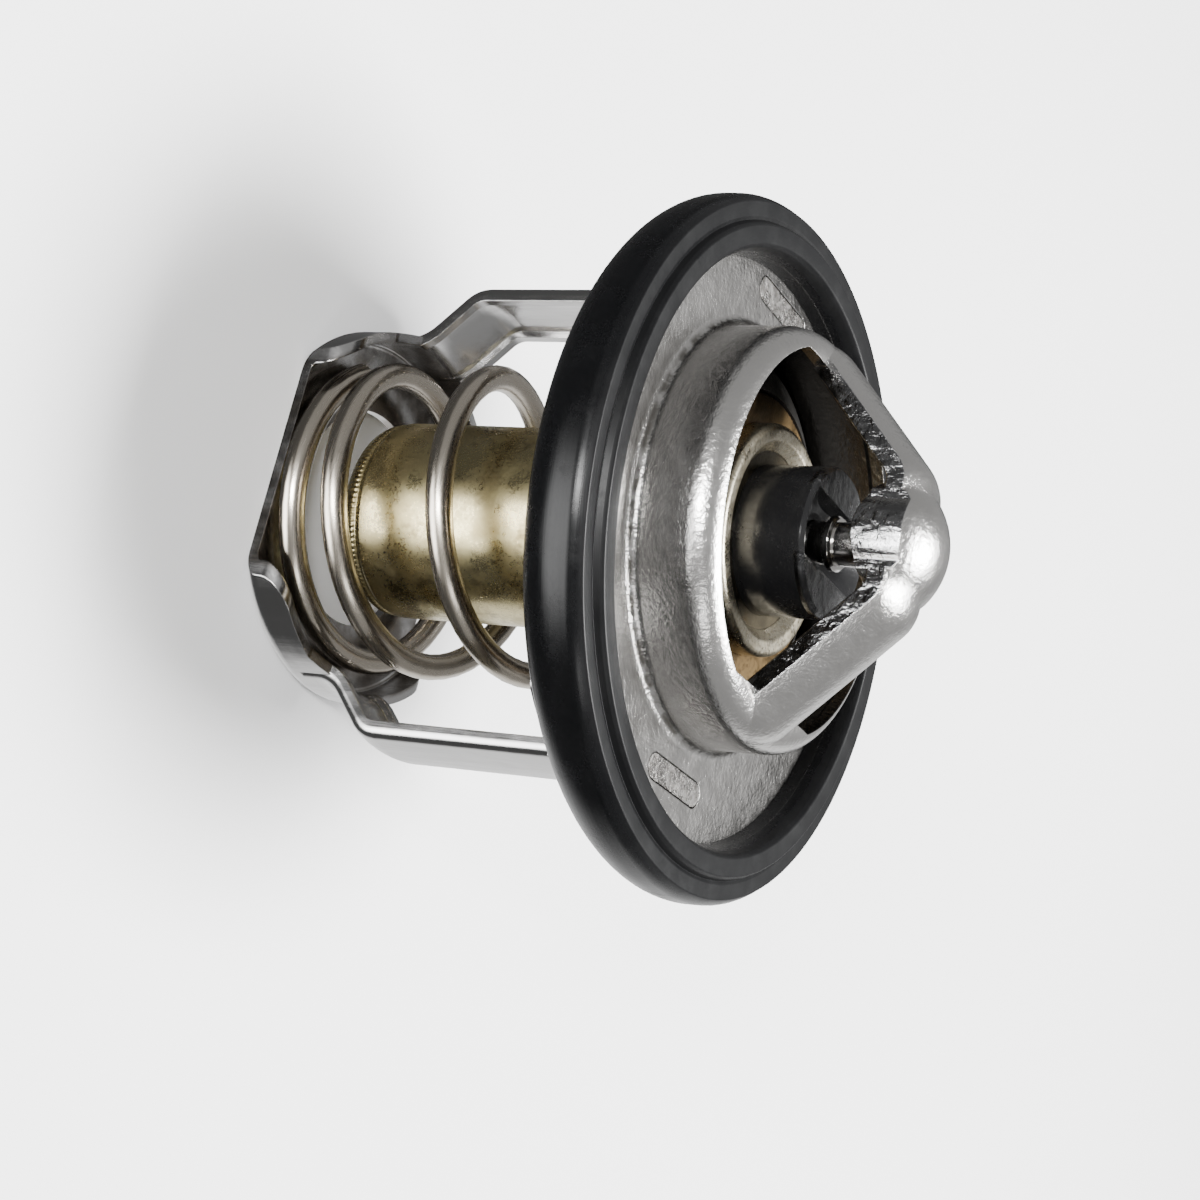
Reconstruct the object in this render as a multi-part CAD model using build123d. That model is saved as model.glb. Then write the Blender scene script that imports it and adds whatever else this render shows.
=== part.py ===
from build123d import *
import math
import os

# Engine thermostat: a drawn steel housing with a flange, a neck and a bridge, a lower frame that
# hangs from the flange, and a wax element that pushes a sprung valve away from the neck.
# Millimetres. The origin is the middle of the foot that it stands on, +Z runs along the axis to
# the nose of the bridge, and X runs along the bridge and the two legs of the lower frame.

# Housing, with rises from the front face of the flange
flange_height = 36.4
housing_sheet = 1.1
flange_radius = 25.6
neck_radius = 16.9
neck_root_round = 0.9
rim_rise = 7.0
rim_round = 2.3
window_radius = 15.3
window_reach = 13.5
window_corner = 0.9
strap_half_width = 3.8
strap_crown_radius = 6.3
strap_slope_deg = 42.8
strap_peak_rise = 21.9
strap_flat_rise = 16.7
strap_foot_rise = 3.8
strap_bend_round = 4.2
hub_radius = 5.0
hub_shear_radius = 4.55
hub_edge_round = 1.3
hub_foot_rise = 12.25
hub_foot_round = 7.7
nose_rise = 18.25
nose_dome_radius = 6.4

# Rubber ring round the flange, which sits a little towards one side of its slack
gasket_slack = 1.1
gasket_wall = 1.5
gasket_belly_radius = 4.15
gasket_edge_inset = 0.6
gasket_grip = 2.3
gasket_drop = 0.99
gasket_drop_angle_deg = 199.6
gasket_front = 2.3
gasket_bead = 0.65
gasket_bead_inset = 0.7
gasket_bead_width = 1.7
gasket_back = 4.0

# Lower frame: foot plate, bowl, two channel legs, ears and staked tabs
frame_sheet = 0.85
foot_hole_radius = 9.3
foot_side = 12.3
bowl_radius = 16.0
bowl_corner = 1.3
bowl_side_height = 3.9
bowl_side_reach = 6.0
bowl_side_round = 2.4
leg_root_height = 2.0
bend_start_height = 4.5
bend_end_height = 8.9
bend_round = 3.4
leg_clearance = 2.55
leg_half_width = 3.9
leg_waist_height = 5.0
leg_waist_round = 1.0
leg_corner = 0.9
lip_depth = 1.75
lip_top = 27.0
ear_inset = 0.9
ear_angle_deg = 43.0
ear_corner = 1.4
ear_gap = 0.1
tab_half_width = 5.6
slot_length = 9.4
slot_width = 2.2
slot_gap = 0.1

# Main spring between the foot and the valve
spring_radius = 12.3
spring_wire = 2.2
spring_seat_gap = 0.05
spring_end_pitch = 2.25
spring_end_turns = 0.97
spring_turns = 4.7
spring_start_deg = 33.0
spring_blend_turns = 0.12
spring_facets = 8
spring_steps = 14

# Valve: a dished disc with a brim, and its rubber ring that closes on the back of the flange
valve_sheet = 0.85
valve_crown_rise = 2.0
valve_crown_radius = 11.6
valve_shoulder_rise = 0.55
valve_neck_gap = 0.45
valve_brim_radius = 17.6
valve_seat_gap = 0.05
seal_thickness = 0.65

# Wax element: cup, guide, membrane, plug, washer, piston and boot
cup_radius = 8.3
cup_wall = 0.85
cup_end_height = 5.1
cup_end_round = 2.6
cup_ledge = 0.6
cup_hole_gap = 0.05
collar_radius = 9.26
collar_bore = 7.95
collar_rise = 3.95
collar_roll = 0.55
collar_lip = 0.4
guide_top_rise = 3.1
guide_depth = 10.2
inner_fit = 0.02
piston_radius = 1.75
piston_running_fit = 0.04
piston_ring_radius = 2.2
piston_ring_rise = 8.8
piston_ring_height = 0.8
piston_bevel = 0.2
piston_tip_gap = 0.03
guide_stem_radius = 3.9
guide_stem_rise = 6.6
guide_cone_radius = 4.6
guide_cone_height = 2.8
membrane_thickness = 1.3
plug_neck_height = 0.6
washer_thickness = 0.8
boot_radius = 6.0
boot_rise = 9.1
boot_bevel = 0.3
boot_gap = 0.15
boot_dish_radius = 5.6
boot_dish_depth = 1.9
boot_lobe_chord = 2.8
boot_hole_gap = 0.1

# Heights and radii that follow from the values above
slope = math.radians(strap_slope_deg)
flange_back = flange_height - housing_sheet
rim_top = flange_height + rim_rise
neck_bore = neck_radius - housing_sheet
nose_top = flange_height + nose_rise
hub_foot = flange_height + hub_foot_rise
gasket_groove_radius = flange_radius + gasket_slack
gasket_radius = gasket_groove_radius + gasket_wall
gasket_edge_radius = gasket_radius - gasket_edge_inset
gasket_lip_radius = flange_radius - gasket_grip
gasket_bead_inner = gasket_lip_radius + gasket_bead_inset
gasket_bead_outer = gasket_bead_inner + gasket_bead_width
gasket_back_height = flange_height - gasket_back
leg_radius = gasket_lip_radius - leg_clearance
ear_radius = flange_radius - ear_inset
ear_top = gasket_back_height - ear_gap
ear_bottom = ear_top - frame_sheet
tab_radius = leg_radius - frame_sheet / 2
web_inner = leg_radius - frame_sheet
valve_crown = flange_height + valve_crown_rise
valve_shoulder = flange_height + valve_shoulder_rise
seal_radius = neck_bore - valve_neck_gap
seal_top = flange_back - valve_seat_gap
brim_top = seal_top - seal_thickness
brim_bottom = brim_top - valve_sheet
dish_radius = seal_radius - seal_thickness
dish_bore = dish_radius - valve_sheet
dish_shoulder = valve_shoulder - seal_thickness
collar_top = flange_height + collar_rise
collar_bottom = valve_crown + inner_fit
cup_bore = cup_radius - cup_wall
guide_top = flange_height + guide_top_rise
guide_bottom = flange_height - guide_depth
membrane_bottom = guide_bottom - membrane_thickness
plug_top = guide_bottom + guide_cone_height + plug_neck_height
piston_bottom = plug_top + washer_thickness
stem_top = flange_height + guide_stem_rise
boot_top = flange_height + boot_rise
guide_bore = piston_radius + piston_running_fit
reach = 60.0
near = 0.01
up = (Align.CENTER, Align.CENTER, Align.MIN)


def ring(*outline):
    """Turns a closed outline of (radius, height) points into a solid round the Z axis."""
    return revolve(make_face(Polyline(*[(r, 0, z) for r, z in outline], close=True)), Axis.Z)


def disc(radius, low, high):
    """A plain round solid on the axis between two heights."""
    return Pos(0, 0, low) * Cylinder(radius, high - low, align=up)


def domed(radius, low, top, dome, rounding=0):
    """A round solid on the axis with a spherical top and, where asked, a rounded shoulder."""
    edge = top - dome + math.sqrt(dome**2 - radius**2)
    middle = (radius / 2, 0, top - dome + math.sqrt(dome**2 - radius**2 / 4))
    roof = ThreePointArc((radius, 0, edge), middle, (0, 0, top))
    rest = Polyline((0, 0, top), (0, 0, low), (radius, 0, low), (radius, 0, edge))
    face = make_face(Curve() + [roof, rest])
    if rounding:
        shoulder = [v for v in face.vertices() if v.X > radius - near and abs(v.Z - edge) < near]
        face = fillet(shoulder, rounding)
    return revolve(face, Axis.Z)


def block(x, y, z):
    """A box between three pairs of coordinates."""
    pairs = (x, y, z)
    return Pos(*[(a + b) / 2 for a, b in pairs]) * Box(*[b - a for a, b in pairs])


def rims(solid, height, radius):
    """The round edges of a solid at one height and radius."""
    edges = solid.edges().filter_by(GeomType.CIRCLE)
    return [e for e in edges if abs(e.arc_center.Z - height) < near and abs(e.radius - radius) < near]


def strap():
    """One side of the bridge: a rounded strip that climbs from the neck and levels out at the hub."""
    peak = flange_height + strap_peak_rise
    flat = flange_height + strap_flat_rise
    corner = peak - neck_radius * math.tan(slope)
    top = (peak - flat) / math.tan(slope)
    low = flange_height + strap_foot_rise
    spine = [(neck_radius, 0, low), (neck_radius, 0, corner), (top, 0, flat), (0, 0, flat)]
    path = FilletPolyline(*spine, radius=strap_bend_round)
    plan = Circle(strap_crown_radius) - Circle(strap_crown_radius - housing_sheet)
    plan &= Pos(strap_crown_radius, 0) * Rectangle(2 * strap_crown_radius, 2 * strap_half_width)
    return sweep(Pos(neck_radius - strap_crown_radius, 0, low) * plan, path)


def hub(inset, rounding=0):
    """Domed cup of the nose, inset by the sheet."""
    return domed(hub_radius - inset, hub_foot - inset, nose_top - inset, nose_dome_radius - inset, rounding)


def hub_saddle():
    """Form that the foot of the hub is trimmed to, lowest in the middle."""
    return Pos(0, 0, hub_foot + hub_foot_round) * Rot(90, 0, 0) * Cylinder(hub_foot_round, reach)


def mouth():
    """Plan of the neck's open mouth, cut straight at both roots of the bridge."""
    plan = Circle(window_radius) & Rectangle(2 * window_reach, 2 * window_radius)
    return fillet(plan.vertices(), window_corner)


def slots(length, width):
    """Round-ended slots along Y, one at each leg."""
    one = Rot(0, 0, 90) * SlotOverall(length, width)
    return Sketch() + [Pos(tab_radius, 0) * one, Pos(-tab_radius, 0) * one]


def make_housing():
    """Flange, neck and bridge, drawn from one sheet."""
    neck = disc(neck_radius, flange_height, rim_top) + disc(flange_radius, flange_back, flange_height)
    neck = fillet(rims(neck, rim_top, neck_radius), rim_round)
    neck = fillet(rims(neck, flange_height, neck_radius), neck_root_round)
    inner_top = rim_top - housing_sheet
    bore = disc(neck_bore, flange_back - housing_sheet, inner_top)
    bore = chamfer(rims(bore, inner_top, neck_bore), (rim_round - housing_sheet) / 2)
    shell = neck - bore - extrude(Pos(0, 0, flange_height + rim_rise / 2) * mouth(), reach)
    low = flange_back - housing_sheet
    shell -= extrude(Pos(0, 0, low) * slots(slot_length, slot_width), 3 * housing_sheet)
    side = strap() - bore
    shear = Circle(hub_shear_radius) + Rectangle(4 * hub_radius, 2 * strap_half_width)
    nose = hub(0, hub_edge_round) & hub_saddle() & extrude(Pos(0, 0, flange_height) * shear, reach)
    return shell + side + mirror(side, Plane.YZ) + nose - hub(housing_sheet)


def make_gasket():
    """U-shaped rubber ring that grips the flange, with a raised bead on its front."""
    front = flange_height + gasket_front
    bead = front + gasket_bead
    middle = gasket_back_height + gasket_belly_radius
    core = gasket_radius - gasket_belly_radius
    start = (gasket_edge_radius, 0, front)
    end = (core, 0, gasket_back_height)
    points = [
        (core, gasket_back_height),
        (gasket_lip_radius, gasket_back_height + gasket_bead),
        (gasket_lip_radius, flange_back),
        (gasket_groove_radius, flange_back),
        (gasket_groove_radius, flange_height),
        (gasket_lip_radius, flange_height),
        (gasket_bead_inner, bead),
        (gasket_bead_outer, bead),
        (gasket_bead_outer + gasket_bead, front),
        (gasket_edge_radius, front),
    ]
    rest = Polyline(*[(r, 0, z) for r, z in points])
    arc = ThreePointArc(start, (gasket_radius, 0, middle), end)
    angle = math.radians(gasket_drop_angle_deg)
    place = Pos(gasket_drop * math.cos(angle), gasket_drop * math.sin(angle))
    return place * revolve(make_face(Curve() + [arc, rest]), Axis.Z)


def bowl(inset):
    """Filled form of the bowl, inset by the sheet."""
    form = disc(bowl_radius - inset, inset, leg_waist_height)
    return fillet(rims(form, inset, bowl_radius - inset), bowl_corner - inset)


def bowl_mask():
    """Front view of the bowl, low at its open sides and high at the legs."""
    half = [
        (foot_side, 0),
        (foot_side, bowl_side_height),
        (bowl_side_reach, bowl_side_height),
        (leg_half_width, leg_waist_height),
    ]
    outline = half + [(-y, z) for y, z in reversed(half)]
    face = make_face(Polyline(*[(0, y, z) for y, z in outline], close=True))
    tips = [v for v in face.vertices() if abs(v.Z - bowl_side_height) < near]
    face = fillet([v for v in tips if abs(v.Y) > foot_side - near], bowl_side_round)
    tips = [v for v in face.vertices() if abs(abs(v.Y) - bowl_side_reach) < near]
    return extrude(fillet(tips, leg_waist_round), reach, both=True)


def channel_plan(inset):
    """Plan of the filled channel of one leg at its root, inset by the sheet."""
    plan = Circle(bowl_radius - inset) & Pos(bowl_radius, 0) * Rectangle(
        2 * lip_depth, 2 * (leg_half_width - inset)
    )
    outer = [v for v in plan.vertices() if v.X > bowl_radius - lip_depth + near]
    return fillet(outer, leg_corner - inset if leg_corner > inset else leg_corner / 2)


def make_leg():
    """Channel with a lip on both sides that rises from the bowl and bends out to the leg's place."""
    spine = [
        (bowl_radius, 0, leg_root_height),
        (bowl_radius, 0, bend_start_height),
        (leg_radius, 0, bend_end_height),
        (leg_radius, 0, lip_top),
    ]
    path = FilletPolyline(*spine, radius=bend_round)
    leg = sweep(Pos(0, 0, leg_root_height) * (channel_plan(0) - channel_plan(frame_sheet)), path)
    leg -= disc(bowl_radius - frame_sheet, 0, leg_waist_height)
    strip = disc(leg_radius, lip_top, flange_back) - disc(web_inner, 0, reach)
    return leg + (strip & block((0, reach), (-leg_half_width, leg_half_width), (0, reach)))


def make_frame():
    """Foot plate, bowl, legs, ears and tabs, pressed from one strip."""
    shell = (bowl(0) - bowl(frame_sheet)) & bowl_mask()
    shell -= block((-reach, reach), (-leg_half_width, leg_half_width), (leg_root_height, reach))
    shell -= disc(foot_hole_radius, -frame_sheet, 2 * frame_sheet)
    side = make_leg() + make_ear()
    tabs = slots(slot_length - 2 * slot_gap, slot_width - 2 * slot_gap)
    tabs = extrude(Pos(0, 0, flange_back) * tabs, housing_sheet)
    return shell + side + Rot(0, 0, 180) * side + tabs


def make_ear():
    """Ear that spreads under the flange at the top of one leg, with the root of its tab."""
    spread = math.radians(ear_angle_deg)
    tip = (reach * math.cos(spread), reach * math.sin(spread))
    wedge = make_face(Polyline((0, 0), (tip[0], -tip[1]), tip, close=True))
    plan = (Circle(ear_radius) - Circle(web_inner)) & wedge
    plan = fillet([v for v in plan.vertices() if math.hypot(v.X, v.Y) > ear_radius - near], ear_corner)
    wall = disc(leg_radius, ear_bottom, flange_back) - disc(web_inner, 0, reach)
    web = wall & block((0, reach), (-tab_half_width, tab_half_width), (0, reach))
    return extrude(Pos(0, 0, ear_bottom) * plan, frame_sheet) + web


def spring_height(turn):
    """Height of the wire's middle after a number of turns: closed ends and open coils between."""
    low = frame_sheet + spring_seat_gap + spring_wire / 2
    top = dish_shoulder - valve_sheet - spring_seat_gap - spring_wire / 2
    free = spring_turns - 2 * spring_end_turns
    pitch = (top - low - 2 * spring_end_turns * spring_end_pitch) / free
    ease = spring_blend_turns
    height = low + spring_end_pitch * turn
    extra = pitch - spring_end_pitch
    for start, sign in ((spring_end_turns, 1), (spring_turns - spring_end_turns, -1)):
        past = turn - start
        if past > ease:
            height += sign * extra * past
        elif past > -ease:
            height += sign * extra * (past + ease) ** 2 / (4 * ease)
    return height


def make_spring():
    """Round wire in wide coils, closed at both ends."""
    points = []
    for step in range(int(spring_turns * spring_steps) + 1):
        turn = step / spring_steps
        angle = math.radians(spring_start_deg) + 2 * math.pi * turn
        x = spring_radius * math.cos(angle)
        points.append((x, spring_radius * math.sin(angle), spring_height(turn)))
    path = Spline(*points)
    section = Plane(path @ 0, z_dir=path % 0) * RegularPolygon(spring_wire / 2, spring_facets)
    return sweep(section, path, is_frenet=True)


def make_valve():
    """Dished disc that carries the element and takes the spring inside it."""
    low_crown = valve_crown - valve_sheet
    bore = cup_radius + cup_hole_gap
    knee = valve_crown_radius + seal_thickness / 2
    return ring(
        (bore, low_crown),
        (bore, valve_crown),
        (valve_crown_radius, valve_crown),
        (knee, valve_crown - seal_thickness),
        (dish_radius, dish_shoulder),
        (dish_radius, brim_top),
        (valve_brim_radius, brim_top),
        (valve_brim_radius, brim_bottom),
        (dish_bore, brim_bottom),
        (dish_bore, dish_shoulder - valve_sheet),
        (valve_crown_radius, low_crown - seal_thickness / 2),
        (valve_crown_radius - valve_sheet, low_crown),
    )


def make_seal():
    """Rubber ring on the outside of the dish, which closes the gap under the flange."""
    knee = valve_crown_radius + seal_thickness / 2 + inner_fit
    return ring(
        (knee, valve_crown - seal_thickness + inner_fit),
        (knee, valve_crown - inner_fit),
        (seal_radius - seal_thickness, valve_shoulder),
        (seal_radius, valve_shoulder - seal_thickness),
        (seal_radius, seal_top),
        (valve_brim_radius, seal_top),
        (valve_brim_radius, brim_top + inner_fit),
        (dish_radius + inner_fit, brim_top + inner_fit),
        (dish_radius + inner_fit, dish_shoulder + inner_fit),
    )


def make_cup():
    """Brass cup with a rounded closed end and a head that is rolled in over the guide."""
    outer = disc(cup_radius, cup_end_height, collar_top)
    outer = fillet(rims(outer, cup_end_height, cup_radius), cup_end_round)
    head = disc(collar_radius, collar_bottom, collar_top)
    head = fillet(rims(head, collar_top, collar_radius), collar_roll)
    seat = disc(cup_bore, membrane_bottom, guide_top + inner_fit)
    lip = cup_bore - collar_lip
    low = guide_top + inner_fit
    mouth = ring((0, low), (lip, low), (collar_bore, collar_top), (collar_bore, reach), (0, reach))
    return outer + head - make_wax() - seat - mouth


def make_wax():
    """Wax charge, which fills the chamber of the cup below the membrane."""
    radius = cup_bore - cup_ledge
    low = cup_end_height + cup_wall
    return chamfer(rims(disc(radius, low, membrane_bottom), low, radius), cup_end_round - cup_wall)


def make_guide():
    """Turned guide in the cup's mouth: a body, a stem, a bore and a cone that faces the membrane."""
    body = disc(cup_bore - inner_fit, guide_bottom, guide_top)
    stem = disc(guide_stem_radius, guide_top, stem_top)
    cone_top = guide_bottom + guide_cone_height
    hollow = ring((0, guide_bottom), (guide_cone_radius, guide_bottom), (guide_bore, cone_top), (0, cone_top))
    return body + stem - hollow - disc(guide_bore, cone_top - 1, stem_top + 1)


def make_plug():
    """Rubber plug that fills the cone and pushes up into the bore."""
    fit = inner_fit
    cone_top = guide_bottom + guide_cone_height
    return ring(
        (0, guide_bottom),
        (guide_cone_radius - fit, guide_bottom),
        (guide_bore - fit, cone_top - fit),
        (guide_bore - fit, plug_top),
        (0, plug_top),
    )


def make_piston():
    """Steel pin with a ring above the boot and a tip that matches the inside of the nose."""
    top = nose_top - housing_sheet - piston_tip_gap
    pin = domed(piston_radius, piston_bottom, top, nose_dome_radius - housing_sheet - piston_tip_gap)
    pin = chamfer(rims(pin, piston_bottom, piston_radius), piston_bevel)
    low = flange_height + piston_ring_rise
    high = low + piston_ring_height
    collar = disc(piston_ring_radius, low, high)
    edges = rims(collar, high, piston_ring_radius) + rims(collar, low, piston_ring_radius)
    return pin + chamfer(edges, piston_bevel)


def make_boot():
    """Rubber sleeve on the guide's stem with a dished top between two lobes."""
    boot = disc(boot_radius, guide_top, boot_top)
    boot = chamfer(rims(boot, boot_top, boot_radius), boot_bevel)
    boot -= disc(guide_stem_radius + inner_fit, guide_top - inner_fit, stem_top + inner_fit)
    boot -= disc(piston_radius + boot_hole_gap, stem_top, boot_top)
    low = boot_top - boot_dish_depth
    well = piston_ring_radius + boot_gap
    dish = ring((0, low), (well, low), (boot_dish_radius, boot_top), (boot_dish_radius, reach), (0, reach))
    return boot - (dish & block((-boot_lobe_chord, boot_lobe_chord), (-reach, reach), (0, reach)))


parts = {
    "housing": make_housing(),
    "gasket_ring": make_gasket(),
    "lower_frame": make_frame(),
    "main_spring": make_spring(),
    "valve_disc": make_valve(),
    "valve_seal": make_seal(),
    "element_cup": make_cup(),
    "element_guide": make_guide(),
    "membrane": disc(cup_bore - inner_fit, membrane_bottom, guide_bottom),
    "wax_charge": make_wax(),
    "plug": make_plug(),
    "plug_washer": disc(guide_bore - inner_fit, plug_top, piston_bottom),
    "piston": make_piston(),
    "boot": make_boot(),
}
os.makedirs("parts", exist_ok=True)
for name, solid in parts.items():
    solid.label = name
    export_step(solid, f"parts/{name}.step")
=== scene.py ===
"""Engine thermostat: the looks of every piece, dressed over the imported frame, in metres."""

import logging
import math
from dataclasses import dataclass
from enum import Enum

import bmesh
import bpy
from mathutils import Matrix, Vector


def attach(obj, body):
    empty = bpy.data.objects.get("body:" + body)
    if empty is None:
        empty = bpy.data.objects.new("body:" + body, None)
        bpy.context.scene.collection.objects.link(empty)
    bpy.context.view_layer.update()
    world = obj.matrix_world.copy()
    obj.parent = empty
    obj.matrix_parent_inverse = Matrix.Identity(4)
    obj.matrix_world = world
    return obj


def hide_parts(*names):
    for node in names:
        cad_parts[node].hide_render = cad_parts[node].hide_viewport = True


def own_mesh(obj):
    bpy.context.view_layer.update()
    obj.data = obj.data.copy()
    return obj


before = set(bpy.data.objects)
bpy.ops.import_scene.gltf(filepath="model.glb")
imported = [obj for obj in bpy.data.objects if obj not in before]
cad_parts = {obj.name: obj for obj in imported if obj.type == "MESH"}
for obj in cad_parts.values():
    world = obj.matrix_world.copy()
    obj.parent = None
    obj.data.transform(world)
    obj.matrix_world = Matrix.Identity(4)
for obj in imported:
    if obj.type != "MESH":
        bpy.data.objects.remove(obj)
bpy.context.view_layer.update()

LOG = logging.getLogger("thermostat")
MM = 0.001
SHARP_DEG = 38.0
SAME_POINT = 1e-7
ON_AXIS = 1e-9
Color = Triple = tuple[float, float, float]
Socket = bpy.types.NodeSocket


class Body(Enum):
    """The bodies of the frame."""

    FIXED = "frame"
    VALVE = "valve"


class Streaks(Enum):
    """Directions that a grain is drawn out in, as scales of the coordinates."""

    NONE = (1.0, 1.0, 1.0)
    ALONG_Z = (1.0, 1.0, 0.06)
    ROUND_THE_AXIS = (1.0, 0.04, 1.0)


class Nodes:
    """Short calls for the nodes of one tree.

    Args:
        tree: the node tree of a material or a group.
    """

    def __init__(self, tree: bpy.types.NodeTree) -> None:
        """Keeps the tree that the calls add to."""
        self.tree = tree

    def add(self, kind: str, **inputs: object) -> bpy.types.Node:
        """Adds a node and sets or links its inputs.

        Args:
            kind: the node's type.
            inputs: values or sockets by input name, with _ for a space.

        Returns:
            The new node.
        """
        node = self.tree.nodes.new(kind)
        for name, value in inputs.items():
            self.feed(node.inputs[name.replace("_", " ")], value)
        return node

    def feed(self, socket: Socket, value: object) -> None:
        """Links a socket to an input, or sets its value.

        Args:
            socket: the input.
            value: a socket, a number or a colour.
        """
        if isinstance(value, bpy.types.NodeSocket):
            self.tree.links.new(value, socket)
        elif isinstance(value, tuple) and socket.type == "RGBA":
            socket.default_value = (*value, 1.0) if len(value) == 3 else value
        else:
            socket.default_value = value

    def math(self, operation: str, a: object, b: object = 0.0, c: object = 0.0) -> Socket:
        """Adds a Math node.

        Args:
            operation: the sum to do.
            a: first value or socket.
            b: second value or socket.
            c: third value or socket.

        Returns:
            The result.
        """
        node = self.tree.nodes.new("ShaderNodeMath")
        node.operation = operation
        for socket, value in zip(node.inputs, (a, b, c)):
            self.feed(socket, value)
        return node.outputs[0]

    def place(self) -> Socket:
        """Object coordinates, in metres."""
        return self.add("ShaderNodeTexCoord").outputs["Object"]

    def split(self, vector: Socket) -> list[Socket]:
        """The three parts of a vector."""
        return list(self.add("ShaderNodeSeparateXYZ", Vector=vector).outputs)

    def join(self, x: object, y: object, z: object) -> Socket:
        """A vector of three parts."""
        return self.add("ShaderNodeCombineXYZ", X=x, Y=y, Z=z).outputs[0]

    def scaled(self, vector: Socket, scale: tuple[float, float, float]) -> Socket:
        """A vector with each part scaled."""
        return self.add("ShaderNodeMapping", Vector=vector, Scale=scale).outputs[0]

    def noise(self, vector: Socket, size_mm: float, detail: float = 4.0, rough: float = 0.5) -> Socket:
        """Noise from 0 to 1 whose lumps have a size.

        Args:
            vector: coordinates in metres.
            size_mm: size of the largest lumps.
            detail: how many finer layers it has.
            rough: how strong the finer layers are.

        Returns:
            The noise.
        """
        node = self.add("ShaderNodeTexNoise", Vector=vector, Scale=1000.0 / size_mm, Detail=detail, Roughness=rough)
        return node.outputs[0]

    def band(self, value: object, low: float, high: float, to_low: float = 0.0, to_high: float = 1.0) -> Socket:
        """Maps a value smoothly from one range to another.

        Args:
            value: the value or socket.
            low: where the first end is.
            high: where the second end is.
            to_low: the result at the first end.
            to_high: the result at the second end.

        Returns:
            The mapped value.
        """
        node = self.tree.nodes.new("ShaderNodeMapRange")
        node.interpolation_type = "SMOOTHSTEP"
        ends = {"Value": value, "From Min": low, "From Max": high, "To Min": to_low, "To Max": to_high}
        for name, number in ends.items():
            self.feed(node.inputs[name], number)
        return node.outputs[0]

    def mix(self, share: object, a: object, b: object) -> Socket:
        """Mixes two colours.

        Args:
            share: how much of the second colour.
            a: first colour.
            b: second colour.

        Returns:
            The mixed colour.
        """
        node = self.tree.nodes.new("ShaderNodeMix")
        node.data_type = "RGBA"
        for socket, value in ((node.inputs[0], share), (node.inputs[6], a), (node.inputs[7], b)):
            self.feed(socket, value)
        return node.outputs[2]

    def radius(self, vector: Socket) -> Socket:
        """Distance from the axis."""
        x, y, _ = self.split(vector)
        return self.math("SQRT", self.math("ADD", self.math("MULTIPLY", x, x), self.math("MULTIPLY", y, y)))

    def wound(self, vector: Socket, along: float) -> Socket:
        """Coordinates of radius, length along the turn and height, for marks that run round the axis.

        Args:
            vector: object coordinates.
            along: scale of the length along the turn.

        Returns:
            The coordinates.
        """
        x, y, z = self.split(vector)
        turn = self.math("MULTIPLY", self.math("ARCTAN2", y, x), 0.012 * along)
        return self.join(self.radius(vector), turn, z)

    def both(self, *masks: object) -> Socket:
        """The product of masks: 1 where all of them are.

        Args:
            masks: masks from 0 to 1.

        Returns:
            The mask.
        """
        result = masks[0]
        for mask in masks[1:]:
            result = self.math("MULTIPLY", result, mask)
        return result

    def between(self, value: Socket, low: float, high: float, soft: float) -> Socket:
        """A mask that is 1 between two values, with soft ends.

        Args:
            value: the value.
            low: lower end.
            high: upper end.
            soft: width of both ends.

        Returns:
            The mask.
        """
        return self.both(self.band(value, low - soft, low + soft), self.band(value, high + soft, high - soft))

    def aligned(self, vector: Socket, direction: object) -> Socket:
        """The dot product of a vector with a direction or another vector.

        Args:
            vector: the vector.
            direction: a direction or another vector.

        Returns:
            The dot product.
        """
        node = self.tree.nodes.new("ShaderNodeVectorMath")
        node.operation = "DOT_PRODUCT"
        self.feed(node.inputs[0], vector)
        self.feed(node.inputs[1], direction)
        return node.outputs["Value"]

    def group(self, tree: bpy.types.NodeTree, **inputs: object) -> bpy.types.Node:
        """Places a node group and sets its inputs.

        Args:
            tree: the group.
            inputs: values or sockets by input name, with _ for a space.

        Returns:
            The placed group.
        """
        node = self.tree.nodes.new("ShaderNodeGroup")
        node.node_tree = tree
        for name, value in inputs.items():
            self.feed(node.inputs[name.replace("_", " ")], value)
        return node

    def bump(self, height: Socket, depth_mm: float, normal: Socket | None = None) -> Socket:
        """A bumped normal.

        Args:
            height: height from 0 to 1.
            depth_mm: depth of the marks.
            normal: a normal to bump further.

        Returns:
            The normal.
        """
        node = self.add("ShaderNodeBump", Height=height, Distance=depth_mm * MM, Strength=1.0)
        if normal is not None:
            self.tree.links.new(normal, node.inputs["Normal"])
        return node.outputs[0]


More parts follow.
